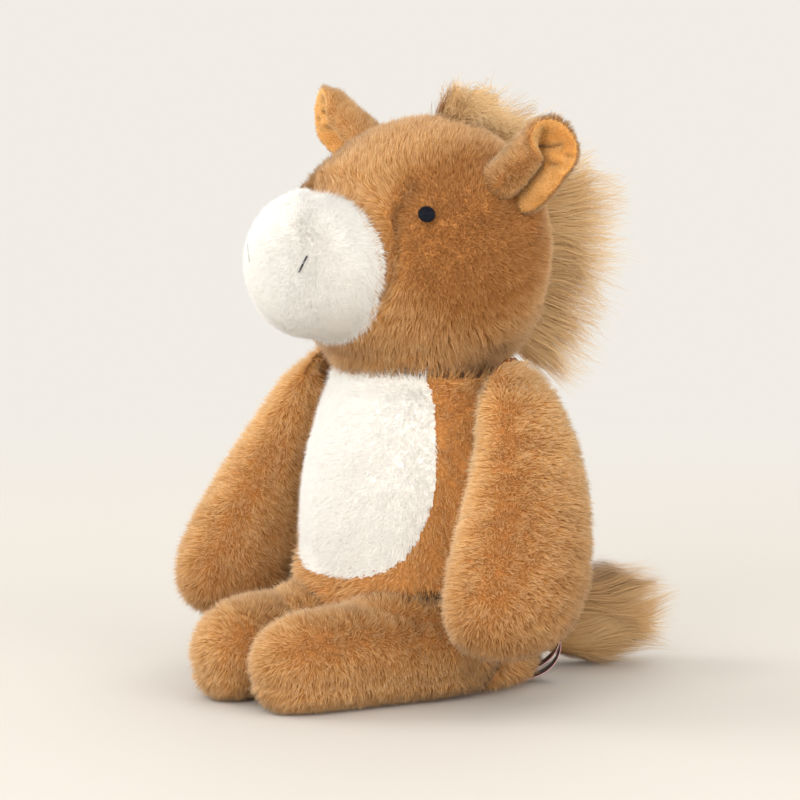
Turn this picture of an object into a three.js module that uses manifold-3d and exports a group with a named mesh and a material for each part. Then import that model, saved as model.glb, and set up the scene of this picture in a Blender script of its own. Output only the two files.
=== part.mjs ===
// A seated plush horse, in millimetres, +Z up.
// It faces -Y and its own left side is +X. The origin is on the floor, under the neck.
import * as THREE from 'three';
import { mergeVertices } from 'three/addons/utils/BufferGeometryUtils.js';
import Module from 'manifold-3d';

const wasm = await Module();
wasm.setup();

// Fabric and fits
const gap = 0.3;          // between pieces that touch
const jointGap = 0.5;     // between pieces that move past each other
const furFabric = 6;      // backing and pile of the brown fur fabric
const plushFabric = 4.5;  // backing and pile of the white plush
const floorSink = 0.5;    // how far the soft underside is flattened on the floor
const overrun = 40;       // how far a cutter passes what it cuts

// Driving dimensions. Angles are in degrees, and every row of shares is one oval section.
const torso = {
  height: 178, radius: 68, depthShare: 0.97, forward: 6,
  neckOpening: 28,
  // [height share, radius share] from the seat to the neck
  profileShares: [
    [0, 0.74], [0.045, 0.9], [0.13, 0.965], [0.3, 0.995], [0.45, 1], [0.58, 0.98],
    [0.7, 0.925], [0.8, 0.845], [0.89, 0.72], [0.95, 0.56], [0.985, 0.33],
  ],
};
const belly = {
  width: 102, height: 112, middle: 117,
  // [width share, height share] down the panel's left edge, from its top to its bottom
  outlineShares: [
    [0.3, 1], [0.5, 0.93], [0.585, 0.8], [0.62, 0.62], [0.72, 0.48], [0.9, 0.28],
    [1, 0], [0.98, -0.28], [0.85, -0.58], [0.62, -0.82], [0.33, -0.96],
  ],
};
const head = {
  halfWidth: 70, halfHeight: 69, back: 58, front: 98, centreHeight: 226, snoutDrop: 6,
  turn: -4, roll: 4,
  // [share of the back or front length, girth share] from the back of the head to the snout
  profileShares: [
    [-0.93, 0.38], [-0.76, 0.65], [-0.52, 0.86], [-0.25, 0.97], [0, 1], [0.14, 0.99],
    [0.28, 0.945], [0.41, 0.875], [0.53, 0.79], [0.64, 0.7], [0.74, 0.62], [0.83, 0.53],
    [0.92, 0.38],
  ],
};
const muzzle = {
  seam: 67, front: 108, halfWidth: 38, halfHeight: 38,
  // [share of the way from the seam to the front, girth share]
  profileShares: [
    [-0.5, 0.93], [0, 0.975], [0.22, 1], [0.45, 0.985], [0.66, 0.915], [0.83, 0.78],
    [0.94, 0.56], [0.99, 0.3],
  ],
};
const eye = { radius: 4.4, thickness: 3, forward: 48, rise: 24, facingShare: 0.75 };
const nostril = { length: 11, width: 2.6, depth: 3, side: 22, rise: 2, lean: 14 };
const ear = {
  width: 54, length: 66, padThickness: 4.5, cupRadius: 15, tipShare: 0.8,
  side: 46, back: 4, rise: 24,  // its root in the head, from the head's centre
  splay: 44, face: 61,          // outward from upright, and from the front to the side
  flop: 12, pivotRise: 18,
};
const mane = {
  crown: 84, reach: 150, halfWidth: 21,
  // [rise share of the crown, near share and far share of the reach, width share], top first
  sectionShares: [
    [0.965, 0.06, 0.28, 0.45], [0.89, 0.03, 0.42, 0.62], [0.77, 0.03, 0.57, 0.75],
    [0.62, 0.05, 0.71, 0.88], [0.4, 0.13, 0.88, 1], [0.06, 0.2, 1, 1], [-0.34, 0.27, 0.99, 1],
    [-0.62, 0.4, 0.94, 0.88], [-0.85, 0.56, 0.87, 0.62],
  ],
  topShare: 0.16, tipShare: 0.72, dropShare: -1,
};
const arm = {
  top: 178, bottom: 26, shoulderSide: 55, pawSide: 99, shoulderForward: 9, pawForward: 48,
  girth: 38, widthShare: 0.8, depthShare: 1.17, seam: 11,
  pivotSide: 55, pivotForward: 7, pivotHeight: 158,
  // [height, way out, way forward, girth] shares, from the shoulder down to the paw
  sectionShares: [
    [0.99, 0, 0, 0.2], [0.957, 0.07, 0.02, 0.37], [0.91, 0.18, 0, 0.48],
    [0.852, 0.36, 0.05, 0.57], [0.688, 0.62, 0.16, 0.72], [0.53, 0.79, 0.36, 0.86],
    [0.366, 0.91, 0.6, 0.97], [0.234, 0.98, 0.78, 1], [0.135, 1, 0.9, 0.92],
    [0.07, 1, 0.95, 0.77], [0.02, 1, 0.98, 0.5],
  ],
};
const leg = {
  hipSide: 38, hipForward: 38, hipRadius: 32, footSide: 26, reach: 137, footGirth: 28.5,
  toeShare: 0.85, seam: 13, seamTilt: 35, hipRoom: 4, roomBehind: 10,
  // share of the hip's radius behind its centre
  ballShares: [0.97, 0.8, 0.5, 0],
  // [way from the hip to the toe, girth] shares
  sectionShares: [
    [0.17, 1.085], [0.37, 1.02], [0.57, 0.985], [0.75, 0.93], [0.88, 0.76], [0.965, 0.44],
  ],
};
const tail = {
  root: 50, tip: 145, rootHeight: 22, tipHeight: 30.5, girth: 27.5, pivotBack: 66,
  rest: 40, swing: 45, // turned to the left at rest, and how far it swings each way
  // [way from root to tip, girth] shares
  profileShares: [
    [0.03, 0.3], [0.2, 0.38], [0.36, 0.56], [0.52, 0.8], [0.7, 1], [0.85, 0.95], [0.95, 0.7],
  ],
};
const pellets = { radius: 28, height: 24, back: 18 };
const label = { width: 14, thickness: 1.6, rise: 25, rootShare: 0.76, stand: 4, bearing: 45 };

// How finely the forms are faceted, and how finely a joint's sweep is stepped
const facets = { torso: 22, head: 22, limb: 16, pad: 10, tail: 12, small: 12, cut: 18, label: 8 };
const sweepStep = 6;

// Finishes
function finish(color, roughness) {
  return new THREE.MeshStandardMaterial({ color, roughness, metalness: 0 });
}
const brownFur = () => finish(0xc4884c, 0.95);
const whitePlush = () => finish(0xf5f1ea, 0.95);
const goldPlush = () => finish(0xe0a050, 0.9);
const maneHair = () => finish(0xc79c65, 0.85);
const stuffing = () => finish(0xf4f4f0, 1);
const pelletBag = () => finish(0xd9d4c8, 0.8);
const blackThread = () => finish(0x14161c, 0.45);
const satinRibbon = () => finish(0x1c2030, 0.4);

const degrees = THREE.MathUtils.degToRad;
const across = new THREE.Vector3(1, 0, 0);
const along = new THREE.Vector3(0, 1, 0);
const upward = new THREE.Vector3(0, 0, 1);
const centre = new THREE.Vector3(0, 0, 0);

// Six times the volume inside a list of triangles, negative if they face inward
function signedVolume(place, index) {
  const corner = (i) => new THREE.Vector3().fromBufferAttribute(place, index[i]);
  let volume = 0;
  for (let i = 0; i < index.length; i += 3) {
    volume += corner(i).dot(corner(i + 1).cross(corner(i + 2)));
  }
  return volume;
}

// One closed skin of triangles that face outward, with no doubled points
function closed(geometry) {
  const bare = geometry.clone();
  bare.deleteAttribute('normal');
  bare.deleteAttribute('uv');
  const merged = mergeVertices(bare);
  const index = merged.index.array;
  const corners = [];
  for (let i = 0; i < index.length; i += 3) {
    const [a, b, c] = [index[i], index[i + 1], index[i + 2]];
    if (a !== b && b !== c && c !== a) corners.push(a, b, c);
  }
  if (signedVolume(merged.attributes.position, corners) < 0) corners.reverse();
  merged.setIndex(corners);
  return merged;
}

// A geometry as a solid that can be cut and joined
function solid(geometry) {
  const skin = closed(geometry);
  return new wasm.Manifold(new wasm.Mesh({
    numProp: 3,
    vertProperties: new Float32Array(skin.attributes.position.array),
    triVerts: new Uint32Array(skin.index.array),
  }));
}

// A solid as a geometry
function geometryOf(body) {
  const mesh = body.getMesh();
  const geometry = new THREE.BufferGeometry();
  geometry.setAttribute('position', new THREE.BufferAttribute(mesh.vertProperties, 3));
  geometry.setIndex(new THREE.BufferAttribute(mesh.triVerts, 1));
  return geometry;
}

// The solid of a closed form whose every point is moved out by a distance, or in if negative
function offset(form, distance) {
  const grown = closed(form);
  grown.computeVertexNormals();
  const { position, normal } = grown.attributes;
  const point = new THREE.Vector3();
  const out = new THREE.Vector3();
  for (let i = 0; i < position.count; i++) {
    out.fromBufferAttribute(normal, i);
    point.fromBufferAttribute(position, i).addScaledVector(out, distance);
    position.setXYZ(i, point.x, point.y, point.z);
  }
  return solid(grown);
}

// A closed form through a row of oval sections, which ends in a point at each end.
// A section has a centre and two half-widths: along X, and along Y if upright or else Z.
function ovalForm(first, sections, last, around, upright) {
  const rows = [{ at: first, half: [0, 0] }, ...sections, { at: last, half: [0, 0] }];
  const profile = rows.map((row, i) => new THREE.Vector2(row.half[0] > 0 ? 1 : 0, i));
  const form = new THREE.LatheGeometry(profile, around);
  const place = form.attributes.position;
  for (let i = 0; i < place.count; i++) {
    const { at, half } = rows[i % rows.length];
    const side = place.getX(i) * half[0];
    const rest = place.getZ(i) * half[1];
    if (upright) place.setXYZ(i, at.x + side, at.y + rest, at.z);
    else place.setXYZ(i, at.x + side, at.y, at.z + rest);
  }
  return form;
}

// A solid turned by an angle about a line through a point
function turned(body, point, axis, angle) {
  const turn = new THREE.Quaternion().setFromAxisAngle(axis, degrees(angle));
  const matrix = new THREE.Matrix4().makeTranslation(point)
    .multiply(new THREE.Matrix4().makeRotationFromQuaternion(turn))
    .multiply(new THREE.Matrix4().makeTranslation(point.clone().negate()));
  return body.transform(matrix.toArray());
}

// The same solid on the horse's other side
function otherSide(body) {
  return body.mirror(across.toArray());
}

// A body less all that an obstacle covers as it turns about a line, from one angle to another
function clearOf(body, obstacle, point, axis, from, to) {
  const steps = Math.ceil((to - from) / sweepStep);
  let cleared = body;
  for (let i = 0; i <= steps; i++) {
    const angle = from + ((to - from) * i) / steps;
    cleared = cleared.subtract(turned(obstacle, point, axis, angle));
  }
  return cleared;
}

// Visit points all over the triangles of a geometry
function eachPoint(geometry, visit) {
  const place = geometry.attributes.position;
  const index = geometry.index.array;
  const splits = 6;
  const point = new THREE.Vector3();
  for (let i = 0; i < index.length; i += 3) {
    const [a, b, c] = [0, 1, 2].map(
      (corner) => new THREE.Vector3().fromBufferAttribute(place, index[i + corner]));
    for (let j = 0; j <= splits; j++) {
      for (let k = 0; k <= splits - j; k++) {
        const [s, t] = [j / splits, k / splits];
        point.copy(a).multiplyScalar(1 - s - t).addScaledVector(b, s).addScaledVector(c, t);
        visit(point);
      }
    }
  }
}

// A round cutter about a hinge line. At each distance from the line it fills the obstacles'
// side as far as they reach, so what it leaves clears them at every angle.
function sweptSide(obstacles, point, axis, reach, room) {
  const bands = 22;
  const limits = new Array(bands + 1).fill(-Infinity);
  for (const obstacle of obstacles) {
    eachPoint(obstacle, (place) => {
      const from = place.clone().sub(point);
      const height = from.dot(axis);
      const band = (from.addScaledVector(axis, -height).length() / reach) * bands;
      for (const i of [Math.floor(band), Math.ceil(band)]) {
        if (i <= bands) limits[i] = Math.max(limits[i], height);
      }
    });
  }
  const known = limits.map((height, i) => [(i / bands) * reach, height])
    .filter(([, height]) => Number.isFinite(height));
  const base = Math.min(...known.map(([, height]) => height)) - overrun;
  const rim = known.at(-1)[0];
  const profile = [
    new THREE.Vector2(0, base),
    ...known.map(([away, height]) => new THREE.Vector2(away, height + room)),
    new THREE.Vector2(rim, base),
    new THREE.Vector2(0, base),
  ];
  const cutter = new THREE.LatheGeometry(profile, facets.cut);
  cutter.applyQuaternion(new THREE.Quaternion().setFromUnitVectors(along, axis));
  cutter.translate(point.x, point.y, point.z);
  return solid(cutter);
}

// All that is in front of a plane across the head, at a distance before its centre
function beforePlane(forward) {
  const wide = 2 * (head.halfWidth + overrun);
  const block = new THREE.BoxGeometry(wide, overrun + head.front, wide);
  block.translate(0, -forward - (overrun + head.front) / 2, 0);
  return solid(block);
}

// All that is under the floor
function underFloor() {
  const wide = 2 * (tail.tip + leg.reach);
  const slab = new THREE.BoxGeometry(wide, wide, overrun);
  slab.translate(0, 0, -overrun / 2);
  return solid(slab);
}

// A round plug from a point along a direction, for an opening in a skin
function plug(point, direction, radius, length) {
  const rod = new THREE.CylinderGeometry(radius, radius, length, facets.small);
  rod.translate(0, length / 2, 0);
  rod.applyQuaternion(new THREE.Quaternion().setFromUnitVectors(along, direction));
  rod.translate(point.x, point.y, point.z);
  return solid(rod);
}

function torsoForm() {
  const at = (share) => new THREE.Vector3(0, -torso.forward, share * torso.height - floorSink);
  const sections = torso.profileShares.map(([height, girth]) => ({
    at: at(height),
    half: [girth * torso.radius, girth * torso.radius * torso.depthShare],
  }));
  const top = new THREE.Vector3(0, -torso.forward, torso.height - floorSink);
  return ovalForm(at(0), sections, top, facets.torso, true);
}

// The head and the muzzle are made about the head's own centre
function headForm() {
  const at = (share) => new THREE.Vector3(
    0, -share * (share < 0 ? head.back : head.front), -Math.max(share, 0) * head.snoutDrop);
  const sections = head.profileShares.map(([length, girth]) => ({
    at: at(length),
    half: [girth * head.halfWidth, girth * head.halfHeight],
  }));
  return ovalForm(at(-1), sections, at(1), facets.head, false);
}

function muzzlePlace(share) {
  const forward = muzzle.seam + share * (muzzle.front - muzzle.seam);
  return new THREE.Vector3(0, -forward, -head.snoutDrop);
}

function muzzleForm() {
  const sections = muzzle.profileShares.map(([length, girth]) => ({
    at: muzzlePlace(length),
    half: [girth * muzzle.halfWidth, girth * muzzle.halfHeight],
  }));
  const back = muzzlePlace(muzzle.profileShares[0][0]);
  return ovalForm(back, sections, muzzlePlace(1), facets.head, false);
}

function armForm() {
  const at = (height, out, forward) => new THREE.Vector3(
    arm.shoulderSide + out * (arm.pawSide - arm.shoulderSide),
    -arm.shoulderForward - forward * (arm.pawForward - arm.shoulderForward),
    arm.bottom + height * (arm.top - arm.bottom),
  );
  const sections = arm.sectionShares.map(([height, out, forward, girth]) => ({
    at: at(height, out, forward),
    half: [girth * arm.girth * arm.widthShare, girth * arm.girth * arm.depthShare],
  }));
  return ovalForm(at(1, 0, 0), sections, at(0, 1, 1), facets.limb, true);
}

function legForm() {
  const hip = hipPoint();
  const ball = leg.ballShares.map((share) => {
    const half = leg.hipRadius * Math.sqrt(1 - share * share);
    return { at: hip.clone().addScaledVector(along, share * leg.hipRadius), half: [half, half] };
  });
  const at = (share, rise) => new THREE.Vector3(
    leg.hipSide + share * (leg.footSide - leg.hipSide),
    -leg.hipForward - share * (leg.reach - leg.hipForward),
    rise - floorSink,
  );
  const toeRise = leg.footGirth * leg.toeShare;
  const shin = leg.sectionShares.map(([length, girth]) => {
    const half = girth * leg.footGirth;
    return { at: at(length, Math.max(half, toeRise)), half: [half, half] };
  });
  const back = hip.clone().addScaledVector(along, leg.hipRadius);
  return ovalForm(back, [...ball, ...shin], at(1, toeRise), facets.limb, false);
}

function hipPoint() {
  return new THREE.Vector3(leg.hipSide, -leg.hipForward, leg.hipRadius - floorSink);
}

// A ball about the hip that the root of the leg turns inside
function hipBall(radius) {
  const ball = new THREE.SphereGeometry(radius, facets.limb, facets.limb / 2);
  ball.rotateZ(Math.PI / 2);
  ball.translate(...hipPoint().toArray());
  return solid(ball);
}

// The room under the front of the torso, into which both thighs swing down
function thighRoom(room) {
  const width = 2 * (leg.hipSide + leg.hipRadius + leg.hipRoom + room);
  const back = leg.roomBehind - leg.hipForward + room;
  const depth = torso.radius + overrun;
  const top = leg.hipRadius - floorSink + room;
  const height = leg.hipRadius + overrun;
  const block = new THREE.BoxGeometry(width, depth, height);
  block.translate(0, back - depth / 2, top - height / 2);
  return solid(block);
}

function tailForm() {
  const at = (share) => new THREE.Vector3(
    0,
    tail.root + share * (tail.tip - tail.root),
    tail.rootHeight + share * (tail.tipHeight - tail.rootHeight),
  );
  const sections = tail.profileShares.map(([length, girth]) => ({
    at: at(length),
    half: [girth * tail.girth, girth * tail.girth],
  }));
  return ovalForm(at(0), sections, at(1), facets.tail, false);
}

// The mane's hair, from the crown down behind the head, about the head's centre
function maneForm() {
  const at = (back, rise) => new THREE.Vector3(0, back * mane.reach, rise * mane.crown);
  const sections = mane.sectionShares.map(([rise, near, far, width]) => ({
    at: at((near + far) / 2, rise),
    half: [width * mane.halfWidth, ((far - near) / 2) * mane.reach],
  }));
  const top = at(mane.topShare, 1);
  const tip = at(mane.tipShare, mane.dropShare);
  return ovalForm(top, sections, tip, facets.tail, true);
}

// One pad of an ear: side 1 is its fur back, and side -1 is its lining.
// It is a leaf, flat where it meets the other pad, and both are rolled into a cup.
function earPad(side) {
  const pad = new THREE.SphereGeometry(1, facets.limb, facets.pad);
  pad.rotateX(Math.PI / 2);
  const place = pad.attributes.position;
  for (let i = 0; i < place.count; i++) {
    const rise = (1 + place.getZ(i)) / 2;
    const width = ear.width * (1 - (1 - ear.tipShare) * rise);
    const roll = (place.getX(i) * width) / (2 * ear.cupRadius);
    const bulge = Math.max(0, place.getY(i)) * ear.padThickness + gap / 2;
    const radius = ear.cupRadius + side * bulge;
    const back = radius * Math.cos(roll) - ear.cupRadius;
    place.setXYZ(i, radius * Math.sin(roll), back, rise * ear.length);
  }
  pad.rotateZ(degrees(ear.face));
  pad.rotateY(degrees(ear.splay));
  pad.translate(ear.side, ear.back, ear.rise);
  return pad;
}

// A flat oval of thread on a surface, given the way that the surface faces
function stitchedPatch(width, length, thickness, place, facing, lean) {
  const patch = new THREE.SphereGeometry(1, facets.small, facets.small / 2);
  patch.scale(width / 2, length / 2, thickness / 2);
  patch.rotateZ(degrees(lean));
  const level = upward.clone().cross(facing).normalize();
  const tall = facing.clone().cross(level);
  patch.applyMatrix4(new THREE.Matrix4().makeBasis(level, tall, facing));
  patch.translate(place.x, place.y, place.z);
  return patch;
}

// The left eye, on the side of the head
function eyePatch() {
  const share = eye.forward / head.front;
  const next = head.profileShares.findIndex(([length]) => length >= share);
  const [[before, wide], [after, narrow]] = head.profileShares.slice(next - 1, next + 1);
  const girth = wide + ((narrow - wide) * (share - before)) / (after - before);
  const height = (eye.rise + share * head.snoutDrop) / (girth * head.halfHeight);
  const side = girth * head.halfWidth * Math.sqrt(1 - height * height);
  const place = new THREE.Vector3(side, -eye.forward, eye.rise);
  const facing = new THREE.Vector3(side, -eye.forward * eye.facingShare, eye.rise).normalize();
  return stitchedPatch(2 * eye.radius, 2 * eye.radius, eye.thickness, place, facing, 0);
}

// The left nostril, on the rounded front of the muzzle
function nostrilPatch() {
  const share = nostril.side / muzzle.halfWidth;
  const last = muzzle.profileShares.findLastIndex(([, girth]) => girth >= share);
  const [[before, wide], [after, narrow]] = muzzle.profileShares.slice(last, last + 2);
  const length = before + ((after - before) * (wide - share)) / (wide - narrow);
  const place = muzzlePlace(length).add(new THREE.Vector3(nostril.side, 0, nostril.rise));
  const run = (after - before) * (muzzle.front - muzzle.seam);
  const facing = new THREE.Vector3(run, -(wide - narrow) * muzzle.halfWidth, 0).normalize();
  return stitchedPatch(
    nostril.width, nostril.length, nostril.depth, place, facing, -nostril.lean);
}

// The blank satin label: a folded strip that bows out from the seam under the seat
function labelForm() {
  const low = label.thickness / 2 + gap;
  const out = torso.radius + label.stand;
  const route = new THREE.QuadraticBezierCurve3(
    new THREE.Vector3(torso.radius * label.rootShare, 0, low),
    new THREE.Vector3(out, 0, low),
    new THREE.Vector3(out, 0, label.rise),
  );
  const [halfWidth, halfThickness] = [label.width / 2, label.thickness / 2];
  const section = new THREE.Shape([
    new THREE.Vector2(-halfWidth, -halfThickness),
    new THREE.Vector2(halfWidth, -halfThickness),
    new THREE.Vector2(halfWidth, halfThickness),
    new THREE.Vector2(-halfWidth, halfThickness),
  ]);
  const strip = new THREE.ExtrudeGeometry(section, { steps: facets.label, extrudePath: route });
  strip.rotateZ(degrees(label.bearing));
  strip.translate(0, -torso.forward, 0);
  return strip;
}

// The bag of pellets that weights the seat
function pelletForm() {
  const bag = new THREE.SphereGeometry(1, facets.limb, facets.limb / 2);
  bag.rotateX(Math.PI / 2);
  bag.scale(pellets.radius, pellets.radius, pellets.height / 2);
  bag.translate(0, pellets.back, furFabric - floorSink + gap + pellets.height / 2);
  return bag;
}

// The outline of the belly panel, with room all round, as deep as the fabric of the torso
function bellyCutter(room) {
  const [halfWidth, halfHeight] = [belly.width / 2 + room, belly.height / 2 + room];
  const edge = (side) => belly.outlineShares.map(
    ([out, rise]) => new THREE.Vector2(side * out * halfWidth, rise * halfHeight));
  const outline = new THREE.Shape([...edge(1), ...edge(-1).reverse()]);
  const block = new THREE.ExtrudeGeometry(outline, {
    depth: torso.radius + overrun,
    bevelEnabled: false,
  });
  block.rotateX(Math.PI / 2);
  block.translate(0, -torso.forward, belly.middle);
  return solid(block).subtract(offset(torsoForm(), -furFabric - room));
}

// Tilt and turn a solid with the head, and lift it to the head's place
function onHead(body) {
  const tilted = turned(body, centre, along, head.roll);
  const facing = turned(tilted, centre, upward, head.turn);
  return facing.translate([0, 0, head.centreHeight]);
}

const horse = new THREE.Group();

function addPart(name, body, material) {
  const part = new THREE.Mesh(geometryOf(body), material);
  part.name = name;
  horse.add(part);
}

// A left solid and its mirror image
function addPair(name, body, material, place = (side) => side) {
  const [front, ...rest] = name.split('_');
  addPart([front, 'left', ...rest].join('_'), place(body), material());
  addPart([front, 'right', ...rest].join('_'), place(otherSide(body)), material());
}

const floor = underFloor();
const torsoOuter = torsoForm();
const headOuter = headForm();
const muzzleOuter = muzzleForm();
const armOuter = armForm();
const legOuter = legForm();
const shoulderPoint = new THREE.Vector3(arm.pivotSide, -arm.pivotForward, arm.pivotHeight);

// The torso: a skin with an inset belly panel, its stuffing and a bag of pellets
{
  const headAbove = sweptSide(
    [geometryOf(onHead(solid(headOuter)))],
    centre, upward.clone().negate(), torso.radius, gap);
  // Each thigh lies in a scoop, which is round about the hip so that the leg can swing down
  const withoutLegs = (body, room) => {
    const scoop = offset(legOuter, room).add(hipBall(leg.hipRadius + leg.hipRoom + room));
    return body.subtract(scoop).subtract(otherSide(scoop)).subtract(thighRoom(room));
  };
  const outer = withoutLegs(solid(torsoOuter), jointGap);
  const hollow = withoutLegs(offset(torsoOuter, -furFabric), jointGap + furFabric);
  const skin = outer.subtract(hollow).subtract(headAbove).subtract(floor);
  addPart('torso_skin', skin.subtract(bellyCutter(gap)), brownFur());
  addPart('belly_panel', skin.intersect(bellyCutter(0)), whitePlush());
  const bag = pelletForm();
  const core = withoutLegs(offset(torsoOuter, -furFabric - gap), jointGap + furFabric + gap);
  addPart('torso_stuffing', core.subtract(headAbove).subtract(offset(bag, gap)), stuffing());
  addPart('seat_pellets', solid(bag), pelletBag());
  const strip = solid(labelForm()).subtract(offset(torsoOuter, gap));
  addPart('care_label', strip, satinRibbon());
}

// The head: fur and muzzle skins round one stuffing, with stitched features
{
  const rear = muzzle.seam - gap / 2;
  const fore = muzzle.seam + gap / 2;
  const neck = plug(
    centre, upward.clone().negate(), torso.neckOpening, head.halfHeight + overrun);
  const fur = solid(headOuter).subtract(offset(headOuter, -furFabric));
  addPart('head_skin', onHead(fur.subtract(beforePlane(rear)).subtract(neck)), brownFur());
  const cup = solid(muzzleOuter).subtract(offset(muzzleOuter, -plushFabric));
  addPart('muzzle_skin', onHead(cup.intersect(beforePlane(fore))), whitePlush());
  const snout = offset(muzzleOuter, -plushFabric - gap);
  const core = offset(headOuter, -furFabric - gap).subtract(beforePlane(rear)).add(snout);
  addPart('head_stuffing', onHead(core), stuffing());
  const eyePad = solid(eyePatch()).subtract(offset(headOuter, gap));
  addPair('eye', eyePad, blackThread, onHead);
  const slit = solid(nostrilPatch()).subtract(offset(muzzleOuter, gap));
  addPair('nostril', slit, blackThread, onHead);
  addPart('mane', onHead(solid(maneForm()).subtract(offset(headOuter, gap))), maneHair());
}

// The ears, whose roots clear the head as they flop
{
  const root = new THREE.Vector3(ear.side, ear.back, ear.rise);
  const pivot = root.clone().setLength(root.length() + ear.pivotRise);
  const surround = offset(headOuter, jointGap);
  for (const [name, side, material] of [['ear_back', 1, brownFur], ['ear_lining', -1, goldPlush]]) {
    const pad = clearOf(solid(earPad(side)), surround, pivot, along, -ear.flop, ear.flop);
    addPair(name, pad, material, onHead);
  }
}

// The arms, flattened on their inner side where they hang against the torso and the thighs
{
  const obstacles = [closed(torsoOuter), closed(legOuter)];
  const inward = (room) => sweptSide(obstacles, shoulderPoint, across, arm.top, room);
  const limb = solid(armOuter).subtract(inward(jointGap));
  const hollow = offset(armOuter, -furFabric).subtract(inward(jointGap + furFabric));
  const opening = plug(
    shoulderPoint.clone().setX(0), across, arm.seam, arm.pivotSide + arm.seam + furFabric);
  addPair('arm_skin', limb.subtract(hollow).subtract(opening), brownFur);
  const core = offset(armOuter, -furFabric - gap);
  addPair('arm_stuffing', core.subtract(inward(jointGap + furFabric + gap)), stuffing);
}

// The legs, which lie on the floor
{
  const limb = solid(legOuter).subtract(offset(legOuter, -furFabric));
  const back = along.clone().applyAxisAngle(across, degrees(leg.seamTilt));
  const opening = plug(hipPoint(), back, leg.seam, leg.hipRadius + overrun);
  addPair('leg_skin', limb.subtract(opening).subtract(floor), brownFur);
  addPair('leg_stuffing', offset(legOuter, -furFabric - gap), stuffing);
}

// The tail, whose root clears the torso as it swings
{
  const pivot = new THREE.Vector3(0, tail.pivotBack, tail.rootHeight);
  const surround = offset(torsoOuter, jointGap);
  const tuft = clearOf(solid(tailForm()), surround, pivot, upward, -tail.swing, tail.swing);
  addPart('tail_hair', turned(tuft, pivot, upward, -tail.rest), maneHair());
}

export default horse;
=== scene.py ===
# A seated plush horse: stuffed bodies, fur, a long mane and tail, stitched features and a label.
# Lengths are in metres. The horse faces -Y, and its own left side is +X.
import math

import bmesh
import bpy
import numpy as np
from mathutils import Matrix, Vector
from mathutils.bvhtree import BVHTree


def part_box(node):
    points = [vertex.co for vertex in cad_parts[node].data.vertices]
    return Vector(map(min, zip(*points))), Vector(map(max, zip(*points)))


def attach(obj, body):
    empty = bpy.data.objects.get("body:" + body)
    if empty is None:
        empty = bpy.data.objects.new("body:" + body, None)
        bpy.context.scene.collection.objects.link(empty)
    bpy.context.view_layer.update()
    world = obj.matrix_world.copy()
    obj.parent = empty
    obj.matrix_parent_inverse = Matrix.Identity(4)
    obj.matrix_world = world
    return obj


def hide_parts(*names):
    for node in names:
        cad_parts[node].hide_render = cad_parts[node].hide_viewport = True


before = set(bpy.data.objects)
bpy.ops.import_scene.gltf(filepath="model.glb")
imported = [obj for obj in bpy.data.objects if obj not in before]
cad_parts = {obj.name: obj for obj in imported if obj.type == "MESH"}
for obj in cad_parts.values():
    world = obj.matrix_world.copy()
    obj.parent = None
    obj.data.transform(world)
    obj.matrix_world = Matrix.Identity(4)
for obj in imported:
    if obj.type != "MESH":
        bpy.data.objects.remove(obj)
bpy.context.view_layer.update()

# Where the head is, and how it is turned and tilted
HEAD_CENTRE = Vector((0, 0, 0.226))
HEAD_TURN = Matrix.Rotation(math.radians(-4), 3, "Z") @ Matrix.Rotation(math.radians(4), 3, "Y")

NECK = Vector((0, 0, 0.172))
NECK_REACH = 0.048     # how far from there the fur is pressed between the head and the torso
NECK_FADE = 0.02       # and how much further until it is free

# How the bodies are made
VOXEL = 0.0025         # the size of the steps in which a body's surface is first found
SMOOTHINGS = 14
PILE = 0.005           # how far the backing lies under the surface that the fur makes
CONTACT = 0.002        # bodies that are nearer than this touch, with no pile between them
CONTACT_FADE = 0.012   # and how much further until the pile is whole
SEAT_RISE = 0.012      # below this height a body rests on the floor
SEAT_PRESS = 0.7       # and its pile is pressed by this share, where it faces down

# How the hair is made
HAIR_SHARE = 1.0   # how much of the hair is made
HAIR_POINTS = 7        # along a long hair
GUARD_SHARE = 0.12     # of the fur, which is longer, finer and paler
ROOT_DEPTH = 0.0004    # how deep a hair's root is in its backing
FLOOR_GAP = 0.0004     # how near to the floor a hair comes
DRIFT_WAVES = 9
THIRD = math.tau / 3

# Where the photograph was taken from
AZIMUTH = math.radians(45)
ELEVATION = math.radians(6)
DISTANCE = 2.2
LOOK_AT = Vector((-0.01174, -0.01174, 0.1457))
BACK = Vector((
    math.sin(AZIMUTH) * math.cos(ELEVATION), -math.cos(AZIMUTH) * math.cos(ELEVATION),
    math.sin(ELEVATION)))
CAMERA_PLACE = LOOK_AT + BACK * DISTANCE
CAMERA_TURN = BACK.to_track_quat("Z", "Y")
PHOTO_SIZE = 800       # its sides, in pixels
LENS = 4246.0          # the lens, in pixels of the photograph
SENSOR = 36            # the sensor's width, in millimetres

BACKDROP = "F1EDE6"

# The colour sockets of a mixing node, and its colour output
MIX_LOW, MIX_HIGH, MIXED = 6, 7, 2


def clamp(value):
    return min(1, max(0, value))


# Colours are written as they look, and turned to linear light for the shaders
def colour(code):
    shades = [int(code[i:i + 2], 16) / 255 for i in (0, 2, 4)]
    linear = [s / 12.92 if s <= 0.04045 else ((s + 0.055) / 1.055) ** 2.4 for s in shades]
    return (*linear, 1.0)


def new_finish(name, roughness, sheen=0.0):
    finish = bpy.data.materials.new(name)
    finish.use_nodes = True
    shader = finish.node_tree.nodes["Principled BSDF"]
    shader.inputs["Roughness"].default_value = roughness
    shader.inputs["Specular IOR Level"].default_value = 0.25
    shader.inputs["Sheen Weight"].default_value = sheen
    shader.inputs["Sheen Roughness"].default_value = 0.5
    return finish, finish.node_tree.nodes, finish.node_tree.links, shader


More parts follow.
